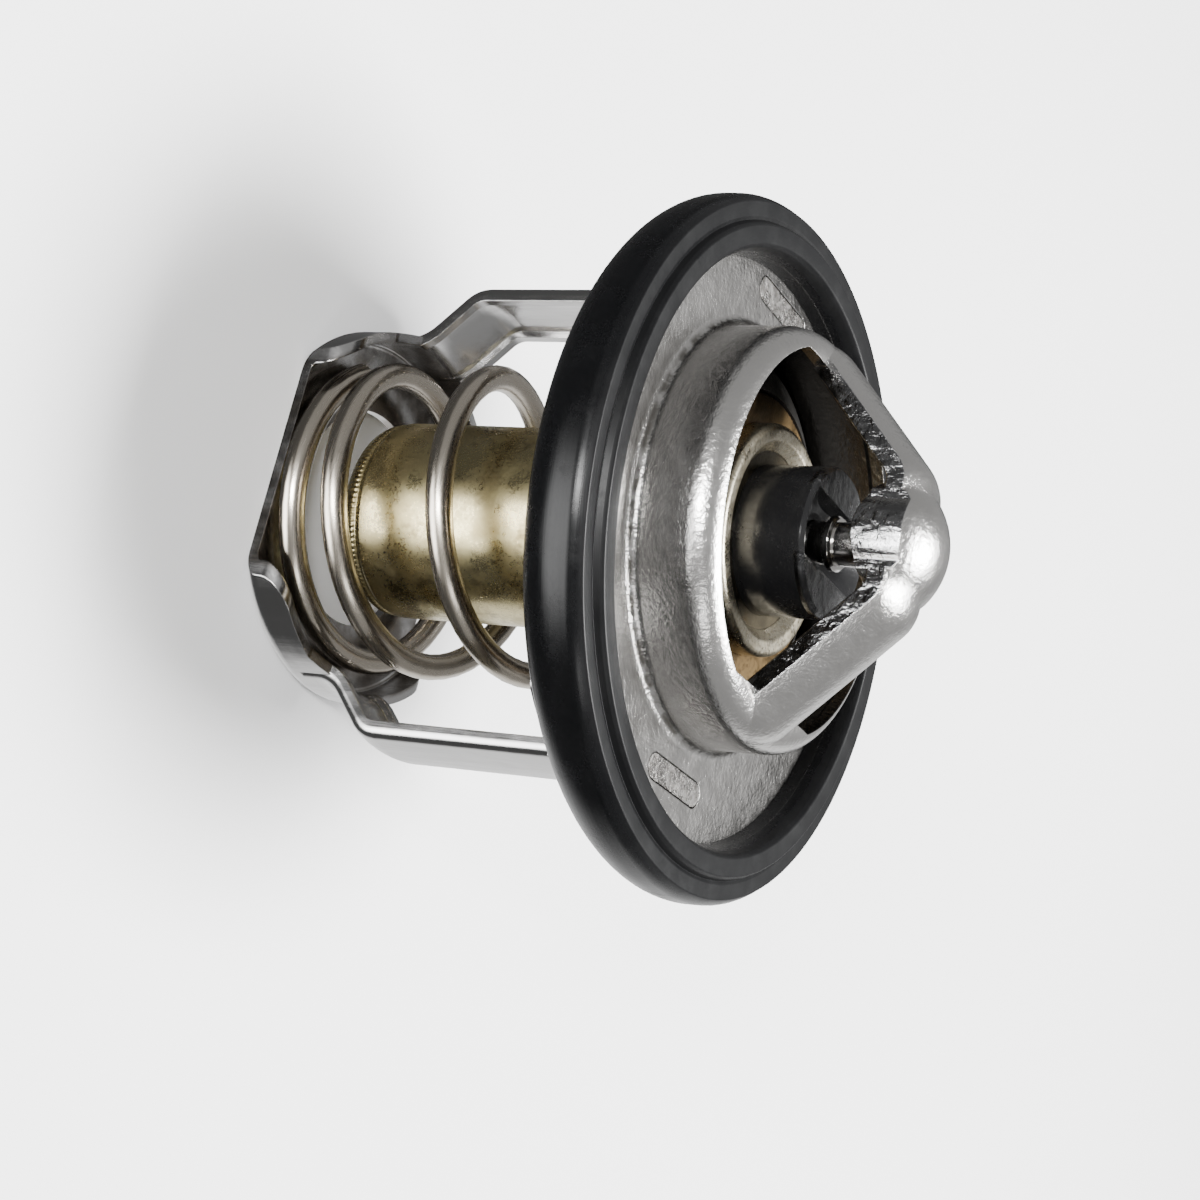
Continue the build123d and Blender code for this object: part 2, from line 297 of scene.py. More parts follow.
class Effects:
    """The shared node groups, each built once."""

    def __init__(self) -> None:
        """Builds the groups."""
        self.grain = self.build_grain()
        self.stain = self.build_stain()

    @staticmethod
    def tree(name: str, inputs: dict[str, tuple[str, float]], outputs: tuple[str, ...]) -> bpy.types.NodeTree:
        """Makes an empty group with named sockets.

        Args:
            name: the group's name.
            inputs: socket kind and value by name.
            outputs: names of the outputs.

        Returns:
            The group.
        """
        tree = bpy.data.node_groups.new(name, "ShaderNodeTree")
        for key, (kind, value) in inputs.items():
            socket = tree.interface.new_socket(name=key, in_out="INPUT", socket_type=kind)
            if kind == "NodeSocketFloat":
                socket.default_value = value
        for key in outputs:
            tree.interface.new_socket(name=key, in_out="OUTPUT", socket_type="NodeSocketFloat")
        return tree

    def build_grain(self) -> bpy.types.NodeTree:
        """Fine metal grain over slow unevenness.

        Returns:
            The group, with outputs Height and Mask.
        """
        tree = self.tree(
            "metal_grain",
            {
                "Vector": ("NodeSocketVector", 0.0),
                "Fine Scale": ("NodeSocketFloat", 4000.0),
                "Slow Scale": ("NodeSocketFloat", 300.0),
            },
            ("Height", "Mask"),
        )
        n = Nodes(tree)
        enter, leave = tree.nodes.new("NodeGroupInput"), tree.nodes.new("NodeGroupOutput")
        fine = n.add("ShaderNodeTexNoise", Vector=enter.outputs[0], Scale=enter.outputs[1], Detail=6.0, Roughness=0.65)
        slow = n.add("ShaderNodeTexNoise", Vector=enter.outputs[0], Scale=enter.outputs[2], Detail=3.0)
        n.feed(leave.inputs[0], n.math("MULTIPLY_ADD", slow.outputs[0], 0.6, n.math("MULTIPLY", fine.outputs[0], 0.4)))
        even = n.math("MULTIPLY_ADD", slow.outputs[0], 0.5, n.math("MULTIPLY", fine.outputs[0], 0.5))
        n.feed(leave.inputs[1], n.band(even, 0.36, 0.64))
        return tree

    def build_stain(self) -> bpy.types.NodeTree:
        """Patches with ragged edges.

        Returns:
            The group, with output Mask.
        """
        tree = self.tree(
            "patchy_stain",
            {
                "Vector": ("NodeSocketVector", 0.0),
                "Scale": ("NodeSocketFloat", 250.0),
                "Amount": ("NodeSocketFloat", 0.5),
            },
            ("Mask",),
        )
        n = Nodes(tree)
        enter, leave = tree.nodes.new("NodeGroupInput"), tree.nodes.new("NodeGroupOutput")
        lumps = n.add(
            "ShaderNodeTexNoise",
            Vector=enter.outputs[0],
            Scale=enter.outputs[1],
            Detail=8.0,
            Roughness=0.62,
            Distortion=0.3,
        )
        low = n.math("SUBTRACT", 0.72, n.math("MULTIPLY", enter.outputs[2], 0.35))
        ramp = n.math("DIVIDE", n.math("SUBTRACT", lumps.outputs[0], low), 0.14)
        clamp = n.add("ShaderNodeClamp", Value=ramp)
        n.feed(leave.inputs[0], clamp.outputs[0])
        return tree


@dataclass(frozen=True)
class Finish:
    """A plain finish that the others build on.

    Args:
        name: the material's name.
        tint: main colour.
        shade: colour of the darker patches.
        rough: roughness of the shinier parts.
        rougher: roughness of the duller parts.
        metallic: 1 for metal.
        grain_mm: size of the grain.
        depth_mm: depth of the grain.
        streaks: direction that the grain is drawn out in.
        edge_mm: radius that sharp edges seem rounded to.
        stain_mm: size of the darker patches.
        stained: share of the surface that the patches take.
    """

    name: str
    tint: Color
    shade: Color
    rough: float
    rougher: float
    metallic: float = 1.0
    grain_mm: float = 0.25
    depth_mm: float = 0.004
    streaks: Streaks = Streaks.NONE
    edge_mm: float = 0.0
    stain_mm: float = 4.5
    stained: float = 0.45

    def coordinates(self, n: Nodes) -> Socket:
        """Where the grain is read: object coordinates, drawn out along the streaks.

        Args:
            n: the material's nodes.

        Returns:
            The coordinates.
        """
        if self.streaks is Streaks.ROUND_THE_AXIS:
            return n.wound(n.place(), self.streaks.value[1])
        return n.scaled(n.place(), self.streaks.value)

    def color(self, n: Nodes, effects: Effects, grain: Socket) -> Socket:
        """Colour over the surface.

        Args:
            n: the material's nodes.
            effects: the shared groups.
            grain: the grain's mask.

        Returns:
            The colour.
        """
        stain = n.group(effects.stain, Vector=n.place(), Scale=1000.0 / self.stain_mm, Amount=self.stained).outputs[0]
        part = n.math("MULTIPLY_ADD", grain, 0.4, n.math("MULTIPLY", stain, 0.6))
        return n.mix(part, self.tint, self.shade)

    def roughness(self, n: Nodes, grain: Socket) -> Socket:
        """Roughness over the surface."""
        return n.band(grain, 0.0, 1.0, self.rough, self.rougher)

    def edge_radius(self, n: Nodes) -> object:
        """Radius in metres that sharp edges seem rounded to."""
        return self.edge_mm * MM

    def relief(self, n: Nodes, normal: Socket) -> Socket:
        """Further relief on a normal; none on a plain finish."""
        return normal

    def shader(self, bsdf: bpy.types.Node) -> None:
        """Sets the shader's constant values; none on a plain finish."""

    def build(self, effects: Effects) -> bpy.types.Material:
        """Makes the material.

        Args:
            effects: the shared groups.

        Returns:
            The material.
        """
        material = bpy.data.materials.new(self.name)
        material.use_nodes = True
        n = Nodes(material.node_tree)
        bsdf = material.node_tree.nodes["Principled BSDF"]
        grain = n.group(
            effects.grain,
            Vector=self.coordinates(n),
            Fine_Scale=1000.0 / self.grain_mm,
            Slow_Scale=1000.0 / (self.grain_mm * 9),
        )
        edge = n.add("ShaderNodeBevel", Radius=self.edge_radius(n)).outputs[0] if self.edge_mm else None
        normal = n.bump(grain.outputs[0], self.depth_mm, edge)
        bsdf.inputs["Metallic"].default_value = self.metallic
        n.feed(bsdf.inputs["Base Color"], self.color(n, effects, grain.outputs[1]))
        n.feed(bsdf.inputs["Roughness"], self.roughness(n, grain.outputs[1]))
        n.feed(bsdf.inputs["Normal"], self.relief(n, normal))
        self.shader(bsdf)
        return material


@dataclass(frozen=True)
class DrawnSteel(Finish):
    """Satin sheet of the housing: orange peel, darker patches at the neck's root, painted shade on the faces that look
    towards the axis and torn faces on the bridge.

    Args:
        flange_z: height of the flange's front in metres.
        neck_r: radius of the neck in metres.
        nose_z: height at which the nose starts to rise from the bridge in metres.
        bridge_half: half the width of the bridge in metres.
        crease_mm: how much rounder the creases beside the nose look.
    """

    flange_z: float = 0.0364
    neck_r: float = 0.0169
    nose_z: float = 0.0490
    bridge_half: float = 0.0038
    crease_mm: float = 1.3

    def torn(self, n: Nodes) -> Socket:
        """Mask of the torn faces along both sides of the bridge.

        Args:
            n: the material's nodes.

        Returns:
            The mask.
        """
        _, _, z = n.split(n.place())
        normal = n.add("ShaderNodeTexCoord").outputs["Normal"]
        _, side, _ = n.split(normal)
        flank = n.band(n.math("ABSOLUTE", side), 0.86, 0.95)
        inner = n.band(n.radius(n.place()), 0.0158, 0.0150)
        return n.both(flank, inner, n.band(z, self.flange_z + 0.0062, self.flange_z + 0.0068))

    def edge_radius(self, n: Nodes) -> Socket:
        """Small at sheared edges and wide in the creases round the nose.

        Args:
            n: the material's nodes.

        Returns:
            The radius.
        """
        _, y, z = n.split(n.place())
        middle = n.band(n.math("ABSOLUTE", y), self.bridge_half, self.bridge_half - 0.0012)
        nose = n.both(middle, n.band(z, self.nose_z, self.nose_z + 0.0008))
        return n.math("MULTIPLY_ADD", nose, self.crease_mm * MM, super().edge_radius(n))

    def inside(self, n: Nodes) -> Socket:
        """Mask of the faces that look towards the axis, which get painted shade.

        Args:
            n: the material's nodes.

        Returns:
            The mask.
        """
        place = n.place()
        normal = n.add("ShaderNodeTexCoord").outputs["Normal"]
        flat = n.scaled(place, (1.0, 1.0, 0.0))
        outward = n.math("DIVIDE", n.aligned(normal, flat), n.math("MAXIMUM", n.radius(place), 0.001))
        return n.band(outward, -0.12, -0.35)

    def color(self, n: Nodes, effects: Effects, grain: Socket) -> Socket:
        """Steel, paler flange, darker patches in the root of the neck, painted shade on the inner faces and grey torn
        faces.

        Args:
            n: the material's nodes.
            effects: the shared groups.
            grain: the grain's mask.

        Returns:
            The colour.
        """
        base = super().color(n, effects, grain)
        place = n.place()
        _, _, z = n.split(place)
        radius = n.radius(place)
        on_flange = n.band(radius, self.neck_r + 0.0006, self.neck_r + 0.0012)
        flange = n.both(on_flange, n.band(z, self.flange_z + 0.0006, self.flange_z))
        handled = n.noise(n.scaled(place, (1.0, 0.35, 1.0)), 1.1, 8.0, 0.7)
        pale = n.mix(n.band(handled, 0.34, 0.72), (0.47, 0.46, 0.445), (0.44, 0.43, 0.415))
        color = n.mix(flange, base, pale)
        # darker patches in a thin ring where the neck meets the flange
        root = n.both(
            n.between(radius, self.neck_r - 0.0003, self.neck_r + 0.0005, 0.00025),
            n.band(z, self.flange_z + 0.0009, self.flange_z + 0.0002),
            n.band(n.noise(place, 1.6), 0.35, 0.6),
        )
        color = n.mix(n.math("MULTIPLY", root, 0.75), color, (0.06, 0.05, 0.035))
        # painted shade: faces that look towards the axis are darkened to stand in for the shadow inside the neck and
        # bridge
        color = n.mix(n.math("MULTIPLY", self.inside(n), 0.9), color, (0.085, 0.08, 0.072))
        steps = n.band(n.noise(n.scaled(place, (1.0, 1.0, 0.45)), 1.0, 4.0, 0.6), 0.40, 0.58)
        facets = n.mix(steps, (0.34, 0.34, 0.343), (0.60, 0.60, 0.605))
        return n.mix(n.math("MULTIPLY", self.torn(n), 0.92), color, facets)

    def roughness(self, n: Nodes, grain: Socket) -> Socket:
        """Shinier torn faces."""
        return n.math("SUBTRACT", super().roughness(n, grain), n.math("MULTIPLY", self.torn(n), 0.12))

    def relief(self, n: Nodes, normal: Socket) -> Socket:
        """Orange peel all over and ragged steps on the torn faces.

        Args:
            n: the material's nodes.
            normal: the normal so far.

        Returns:
            The normal.
        """
        place = n.place()
        peel = n.bump(n.noise(place, 0.45, 3.0, 0.6), 0.06, normal)
        drag = n.noise(n.scaled(place, (1.0, 1.0, 0.18)), 0.45, 3.0, 0.5)
        ragged = n.math("MULTIPLY_ADD", n.noise(place, 1.9, 2.5, 0.5), 1.0, n.math("MULTIPLY", drag, 0.22))
        return n.bump(n.both(ragged, self.torn(n)), 0.22, peel)


@dataclass(frozen=True)
class PressedStrip(Finish):
    """Bright strip of the lower frame, with scratches along it, staked tabs and a darker inside.

    Args:
        tab_z: height above which the staked tabs are, in metres.
        wall_r: radius of the bowl's inner wall in metres.
    """

    tab_z: float = 0.0355
    wall_r: float = 0.0153

    def staked(self, n: Nodes) -> Socket:
        """Mask of the tabs' staked tops."""
        return n.band(n.split(n.place())[2], self.tab_z, self.tab_z + 0.0003)

    def color(self, n: Nodes, effects: Effects, grain: Socket) -> Socket:
        """Steel with tarnish on the inside and duller, warmer tabs.

        Args:
            n: the material's nodes.
            effects: the shared groups.
            grain: the grain's mask.

        Returns:
            The colour.
        """
        place = n.place()
        within = n.band(n.radius(place), self.wall_r + 0.0003, self.wall_r - 0.0002)
        tarnish = n.both(within, n.band(n.noise(place, 3.0), 0.3, 0.6))
        color = n.mix(n.math("MULTIPLY", tarnish, 0.75), super().color(n, effects, grain), (0.11, 0.09, 0.07))
        flakes = n.mix(n.band(n.noise(place, 0.5, 6.0, 0.7), 0.42, 0.60), (0.34, 0.33, 0.315), (0.17, 0.16, 0.15))
        return n.mix(self.staked(n), color, flakes)

    def roughness(self, n: Nodes, grain: Socket) -> Socket:
        """Duller tabs."""
        return n.math("MULTIPLY_ADD", self.staked(n), 0.08, super().roughness(n, grain))

    def relief(self, n: Nodes, normal: Socket) -> Socket:
        """Scratches along the strip, slow dents and rough tabs.

        Args:
            n: the material's nodes.
            normal: the normal so far.

        Returns:
            The normal.
        """
        place = n.place()
        scratches = n.noise(n.scaled(place, (1.0, 1.0, 0.03)), 0.16, 3.0, 0.7)
        scratched = n.bump(scratches, 0.004, normal)
        dented = n.bump(n.noise(place, 3.2, 2.0), 0.05, scratched)
        rough = n.both(n.noise(n.scaled(place, (1.0, 0.6, 1.0)), 0.9, 7.0, 0.72), self.staked(n))
        return n.bump(rough, 0.12, dented)


@dataclass(frozen=True)
class StainedBrass(Finish):
    """Brass with tarnish and a painted highlight as a paler band over a range of heights.

    Args:
        painted_highlight: colour of the painted highlight's paler patches.
        highlight_low: lowest height of the painted highlight's band in metres.
        highlight_high: highest height of the painted highlight's band in metres.
        pale_z: height above which the brass is pale, in metres.
        ribs_low: lowest height of the drawn ribs in metres.
        ribs_high: highest height of the drawn ribs in metres.
        ribs: how many ribs go round.
    """

    painted_highlight: Color = (0.52, 0.46, 0.25)
    highlight_low: float = 0.008
    highlight_high: float = 0.0235
    pale_z: float = 1.0
    ribs_low: float = 0.0
    ribs_high: float = 0.0
    ribs: int = 116

    def ribbed(self, n: Nodes) -> Socket:
        """Height of the ribs that drawing leaves near the closed end.

        Args:
            n: the material's nodes.

        Returns:
            The height.
        """
        x, y, z = n.split(n.place())
        turn = n.math("ARCTAN2", y, x)
        wave = n.math("MULTIPLY_ADD", n.math("SINE", n.math("MULTIPLY", turn, float(self.ribs))), 0.5, 0.5)
        return n.both(wave, n.between(z, self.ribs_low, self.ribs_high, 0.0002))

    def color(self, n: Nodes, effects: Effects, grain: Socket) -> Socket:
        """Tarnish in blots and runs, with a painted highlight as a paler band.

        Args:
            n: the material's nodes.
            effects: the shared groups.
            grain: the grain's mask.

        Returns:
            The colour.
        """
        place = n.place()
        _, _, z = n.split(place)
        base = super().color(n, effects, grain)
        runs = n.noise(n.wound(place, 0.55), 1.5, 7.0, 0.66)
        # painted highlight: a paler band over the heights where the light's reflection runs along the cup, broken up in
        # runs
        band = n.both(n.between(z, self.highlight_low, self.highlight_high, 0.003), n.band(runs, 0.46, 0.60))
        color = n.mix(n.math("MULTIPLY", band, 0.75), base, self.painted_highlight)
        blots = n.group(effects.stain, Vector=n.scaled(place, (1.0, 1.0, 0.7)), Scale=620.0, Amount=0.42).outputs[0]
        color = n.mix(n.math("MULTIPLY", blots, 0.55), color, (0.075, 0.052, 0.022))
        speckled = n.mix(n.band(n.noise(place, 0.3, 3.0), 0.42, 0.62), (0.50, 0.46, 0.36), (0.40, 0.355, 0.26))
        return n.mix(n.band(z, self.pale_z, self.pale_z + 0.0003), color, speckled)

    def relief(self, n: Nodes, normal: Socket) -> Socket:
        """Turning lines round the body and slow dents.

        Args:
            n: the material's nodes.
            normal: the normal so far.

        Returns:
            The normal.
        """
        place = n.place()
        lines = n.noise(n.join(0.0, 0.0, n.split(place)[2]), 0.14, 2.0, 0.6)
        turned = n.bump(lines, 0.0035, normal)
        dented = n.bump(n.noise(place, 2.6, 2.0), 0.035, turned)
        return n.bump(self.ribbed(n), 0.05, dented) if self.ribs_high else dented


@dataclass(frozen=True)
class MouldedRubber(Finish):
    """Black rubber with moulding rings, dust in the corners and scuffs.

    Args:
        gloss: weight of the skin's gloss.
        ring_mm: width of the moulding rings.
        matt_z: height above which the rubber is matt, in metres.
        dust: strength of the dust.
        chunks_mm: depth of torn relief, 0 for none.
        torn_x: distance from the middle at which the torn relief starts, in metres.
        torn_z: height at which the torn relief starts, in metres.
    """

    gloss: float = 0.25
    ring_mm: float = 0.45
    matt_z: float = 1.0
    dust: float = 0.35
    chunks_mm: float = 0.0
    torn_x: float = 0.0027
    torn_z: float = 0.0447

    def torn(self, n: Nodes) -> Socket:
        """Mask of torn lobes, both sides of the middle.

        Args:
            n: the material's nodes.

        Returns:
            The mask.
        """
        x, _, z = n.split(n.place())
        beside = n.band(n.math("ABSOLUTE", x), self.torn_x, self.torn_x + 0.0003)
        return n.both(beside, n.band(z, self.torn_z, self.torn_z + 0.0004))

    def color(self, n: Nodes, effects: Effects, grain: Socket) -> Socket:
        """Rubber with grey dust in specks and film.

        Args:
            n: the material's nodes.
            effects: the shared groups.
            grain: the grain's mask.

        Returns:
            The colour.
        """
        base = super().color(n, effects, grain)
        place = n.place()
        film = n.band(n.noise(place, 5.0, 4.0), 0.45, 0.7)
        specks = n.band(n.noise(place, 0.22, 2.0, 0.4), 0.70, 0.76)
        share = n.math("MULTIPLY", n.math("MULTIPLY_ADD", film, 0.25, n.math("MULTIPLY", specks, 0.75)), self.dust)
        return n.mix(share, base, (0.16, 0.16, 0.155))

    def roughness(self, n: Nodes, grain: Socket) -> Socket:
        """Shiny skin, matt above a height.

        Args:
            n: the material's nodes.
            grain: the grain's mask.

        Returns:
            The roughness.
        """
        _, _, z = n.split(n.place())
        matt = n.band(z, self.matt_z - 0.0002, self.matt_z + 0.0003)
        skin = n.math("MULTIPLY_ADD", matt, 0.16, super().roughness(n, grain))
        return n.math("MULTIPLY_ADD", n.band(n.noise(n.place(), 2.2, 6.0, 0.7), 0.5, 0.75), 0.10, skin)

    def relief(self, n: Nodes, normal: Socket) -> Socket:
        """Moulding rings and, where asked, torn chunks.

        Args:
            n: the material's nodes.
            normal: the normal so far.

        Returns:
            The normal.
        """
        place = n.place()
        rings = n.noise(n.join(n.radius(place), 0.0, n.split(place)[2]), self.ring_mm, 3.0, 0.6)
        ringed = n.bump(rings, 0.012, normal)
        if not self.chunks_mm:
            return ringed
        cells = n.add("ShaderNodeTexVoronoi", Vector=place, Scale=900.0, Randomness=1.0).outputs[0]
        chunks = n.both(n.math("MULTIPLY_ADD", cells, 0.7, n.noise(place, 0.9, 5.0, 0.6)), self.torn(n))
        return n.bump(chunks, self.chunks_mm, ringed)

    def shader(self, bsdf: bpy.types.Node) -> None:
        """Sets the skin's gloss.

        Args:
            bsdf: the shader.
        """
        bsdf.inputs["Coat Weight"].default_value = self.gloss
        bsdf.inputs["Coat Roughness"].default_value = 0.22
        bsdf.inputs["Specular IOR Level"].default_value = 0.18


class Workshop:
    """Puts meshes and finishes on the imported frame.

    Args:
        effects: the shared groups.
    """

    def __init__(self, effects: Effects) -> None:
        """Keeps the shared groups."""
        self.effects = effects

    def dress(self, node: str, finish: Finish) -> None:
        """Gives a node of the frame its finish.

        Args:
            node: the node's name.
            finish: its finish.
        """
        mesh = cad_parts[node].data
        material = finish.build(self.effects)
        for index in range(len(mesh.materials)):
            mesh.materials[index] = material
        if not len(mesh.materials):
            mesh.materials.append(material)
        LOG.info("dressed %s with %s", node, finish.name)

    def add(
        self, name: str, bm: bmesh.types.BMesh, finish: Finish, body: Body, node: str, slot: str
    ) -> bpy.types.Object:
        """Makes an object of a finished mesh, which stands for a node.

        Args:
            name: the piece's name.
            bm: its mesh, in metres, which is freed.
            finish: its finish.
            body: the body it rides on.
            node: the node it stands for.
            slot: the record's material slot; not used.

        Returns:
            The object.
        """
        for face in bm.faces:
            face.smooth = True
        mesh = bpy.data.meshes.new(name)
        bm.to_mesh(mesh)
        bm.free()
        mesh.set_sharp_from_angle(angle=math.radians(SHARP_DEG))
        mesh.materials.append(finish.build(self.effects))
        piece = bpy.data.objects.new(name, mesh)
        bpy.context.scene.collection.objects.link(piece)
        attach(piece, body.value)
        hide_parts(node)
        LOG.info("built %s for %s", name, node)
        return piece

    @staticmethod
    def turned(
        outline: list[tuple[float, float, float]], steps: int, middle: tuple[float, float] = (0.0, 0.0)
    ) -> bmesh.types.BMesh:
        """Spins a closed outline round an upright axis.

        Args:
            outline: radius, height and rounding of each corner, in millimetres.
            steps: how many faces go round.
            middle: where the axis stands, in millimetres.

        Returns:
            The mesh, in metres.
        """
        bm = bmesh.new()
        corners = [bm.verts.new((r * MM, 0.0, z * MM)) for r, z, _ in outline]
        bm.faces.new(corners)
        for corner, (_, _, rounding) in zip(corners, outline):
            if rounding:
                segments = 4 + int(rounding * 4)
                bmesh.ops.bevel(
                    bm,
                    geom=[corner],
                    offset=rounding * MM,
                    affect="VERTICES",
                    segments=segments,
                    profile=0.5,
                    material=-1,
                )
        bmesh.ops.delete(bm, geom=bm.faces[:], context="FACES_ONLY")
        axis = [edge for edge in bm.edges if all(abs(vert.co.x) < ON_AXIS for vert in edge.verts)]
        bmesh.ops.delete(bm, geom=axis, context="EDGES")
        edges = bm.edges[:]
        bmesh.ops.spin(
            bm,
            geom=bm.verts[:] + edges,
            cent=(0.0, 0.0, 0.0),
            axis=(0.0, 0.0, 1.0),
            angle=2.0 * math.pi,
            steps=steps,
            use_merge=True,
        )
        bmesh.ops.remove_doubles(bm, verts=bm.verts[:], dist=SAME_POINT)
        bmesh.ops.recalc_face_normals(bm, faces=bm.faces[:])
        bmesh.ops.translate(bm, verts=bm.verts[:], vec=(middle[0] * MM, middle[1] * MM, 0.0))
        return bm


@dataclass
class Housing:
    """Flange, neck and bridge in one drawn sheet.

    Args:
        edge_mm: how round its sheared edges look.
    """

    edge_mm: float = 0.16

    def build(self, shop: Workshop) -> None:
        """Dresses the housing.

        Args:
            shop: puts meshes and finishes on the frame.
        """
        finish = DrawnSteel(
            "satin_steel", (0.53, 0.52, 0.505), (0.49, 0.48, 0.465), 0.21, 0.26,
            grain_mm=0.16, depth_mm=0.005, edge_mm=self.edge_mm,
        )
        shop.dress("housing", finish)


@dataclass
class SealRing:
    """Rubber ring round the flange, with its bead, step and grooved lips, in millimetres.

    Args:
        middle: where the ring's own middle stands.
        outer: largest radius.
        lip: radius of its inner lips.
        groove: radius of the groove's bottom.
        sheet: thickness of the flange that it grips.
        front: height of the outer front band.
        bead: height of the bead.
        back: height of its back.
        flange: height of the flange's front.
        belly: radius of its rounded back corner.
        steps: how many faces go round.
    """

    middle: tuple[float, float] = (-0.9326, -0.3321)
    outer: float = 28.2
    lip: float = 23.3
    groove: float = 26.7
    sheet: float = 1.1
    front: float = 38.7
    bead: float = 39.35
    back: float = 32.4
    flange: float = 36.4
    belly: float = 4.0
    steps: int = 256

    def build(self, shop: Workshop) -> None:
        """Builds the ring in place of its solid.

        Args:
            shop: puts meshes and finishes on the frame.
        """
        outline = [
            (self.outer - 0.62, self.front, 0.10),
            (self.outer - 0.06, self.front - 0.85, 0.4),
            (self.outer, self.front - 2.2, 0.0),
            (self.outer, self.back, self.belly),
            (self.lip + 0.65, self.back, 0.2),
            (self.lip, self.back + 0.65, 0.2),
            (self.lip, self.flange - self.sheet, 0.1),
            (self.groove, self.flange - self.sheet, 0.0),
            (self.groove, self.flange, 0.0),
            (self.lip, self.flange + 0.02, 0.05),
            (self.lip + 0.25, self.flange + 1.1, 0.08),
            (self.lip + 0.12, self.flange + 1.25, 0.05),
            (self.lip + 0.62, self.bead - 0.35, 0.12),
            (self.lip + 0.90, self.bead, 0.14),
            (self.lip + 2.40, self.bead, 0.10),
            (self.lip + 2.62, self.bead - 0.30, 0.05),
            (self.lip + 2.78, self.front - 0.12, 0.05),
            (self.lip + 3.10, self.front, 0.08),
        ]
        finish = MouldedRubber(
            "ring_rubber", (0.0018, 0.0019, 0.0022), (0.003, 0.0031, 0.0034), 0.22, 0.27,
            metallic=0.0, gloss=0.0, matt_z=0.03835, dust=0.015
        )
        ring = shop.turned(outline, self.steps, self.middle)
        shop.add("seal_ring", ring, finish, Body.FIXED, "gasket_ring", "gasket_rubber")


@dataclass
class LowerFrame:
    """Foot plate, bowl, legs, ears and staked tabs.

    Args:
        edge_mm: how round its sheared edges look.
    """

    edge_mm: float = 0.12

    def build(self, shop: Workshop) -> None:
        """Dresses the lower frame.

        Args:
            shop: puts meshes and finishes on the frame.
        """
        finish = PressedStrip(
            "strip_steel", (0.46, 0.455, 0.45), (0.40, 0.395, 0.39), 0.15, 0.25,
            grain_mm=0.2, depth_mm=0.003, edge_mm=self.edge_mm, streaks=Streaks.ALONG_Z,
        )
        shop.dress("lower_frame", finish)


@dataclass
class MainSpring:
    """Round wire in wide coils with closed ends, in millimetres.

    Args:
        radius: radius of the coil's middle line.
        wire: thickness of the wire.
        low: height of the middle line's lower end.
        high: height of its upper end.
        end_pitch: climb of a closed turn.
        end_turns: closed turns at each end.
        turns: all the turns.
        start_deg: direction of the lower end.
        blend: turns over which the climb changes.
        steps: stations in a turn.
        sides: faces round the wire.
        seat: height of the face that it stands on; not used.
        travel: how far the valve moves; not used.
    """

    radius: float = 12.3
    wire: float = 2.2
    low: float = 2.0
    high: float = 34.3
    end_pitch: float = 2.25
    end_turns: float = 0.97
    turns: float = 4.7
    start_deg: float = 33.0
    blend: float = 0.12
    steps: int = 48
    sides: int = 20
    seat: float = 0.9
    travel: float = 8.0

    def height(self, turn: float) -> float:
        """Height of the middle line after some turns.

        Args:
            turn: how many turns from the lower end.

        Returns:
            The height in millimetres.
        """
        pitch = (self.high - self.low - 2 * self.end_turns * self.end_pitch) / (self.turns - 2 * self.end_turns)
        height = self.low + self.end_pitch * turn
        for start, sign in ((self.end_turns, 1.0), (self.turns - self.end_turns, -1.0)):
            past = turn - start
            if past > self.blend:
                height += sign * (pitch - self.end_pitch) * past
            elif past > -self.blend:
                height += sign * (pitch - self.end_pitch) * (past + self.blend) ** 2 / (4 * self.blend)
        return height

    def build(self, shop: Workshop) -> None:
        """Builds the wire section by section.

        Args:
            shop: puts meshes and finishes on the frame.
        """
        bm = bmesh.new()
        last: list[bmesh.types.BMEdge] = []
        count = round(self.turns * self.steps)
        for station in range(count + 1):
            turn = station / self.steps
            angle = math.radians(self.start_deg) + 2 * math.pi * turn
            climb = (self.height(turn + 0.01) - self.height(turn - 0.01)) / (0.02 * 2 * math.pi * self.radius)
            place = Matrix.Rotation(angle, 4, "Z") @ Matrix.Translation((self.radius * MM, 0.0, self.height(turn) * MM))
            place @= Matrix.Rotation(math.atan(climb), 4, "X") @ Matrix.Rotation(math.radians(90.0), 4, "X")
            ends = station in (0, count)
            made = bmesh.ops.create_circle(
                bm, cap_ends=ends, radius=self.wire / 2 * MM, segments=self.sides, matrix=place
            )
            edges = list({edge for vert in made["verts"] for edge in vert.link_edges})
            if last:
                bmesh.ops.bridge_loops(bm, edges=last + edges)
            last = edges
        bmesh.ops.recalc_face_normals(bm, faces=bm.faces[:])
        finish = Finish(
            "spring_wire", (0.45, 0.41, 0.35), (0.38, 0.34, 0.28), 0.21, 0.30,
            grain_mm=0.12, depth_mm=0.002, stain_mm=3.0, stained=0.25, streaks=Streaks.ROUND_THE_AXIS
        )
        piece = shop.add("coil_spring", bm, finish, Body.FIXED, "main_spring", "spring_steel")
        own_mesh(piece)


@dataclass
class Valve:
    """Dished disc and the rubber ring on its outside."""

    def build(self, shop: Workshop) -> None:
        """Dresses the disc and its ring.

        Args:
            shop: puts meshes and finishes on the frame.
        """
        disc = StainedBrass(
            "valve_brass", (0.17, 0.115, 0.055), (0.08, 0.054, 0.026), 0.30, 0.48,
            edge_mm=0.1, painted_highlight=(0.26, 0.19, 0.095), highlight_low=0.036,
        )
        shop.dress("valve_disc", disc)
        seal = MouldedRubber("seal_rubber", (0.016, 0.015, 0.014), (0.03, 0.028, 0.026), 0.45, 0.6, metallic=0.0)
        shop.dress("valve_seal", seal)


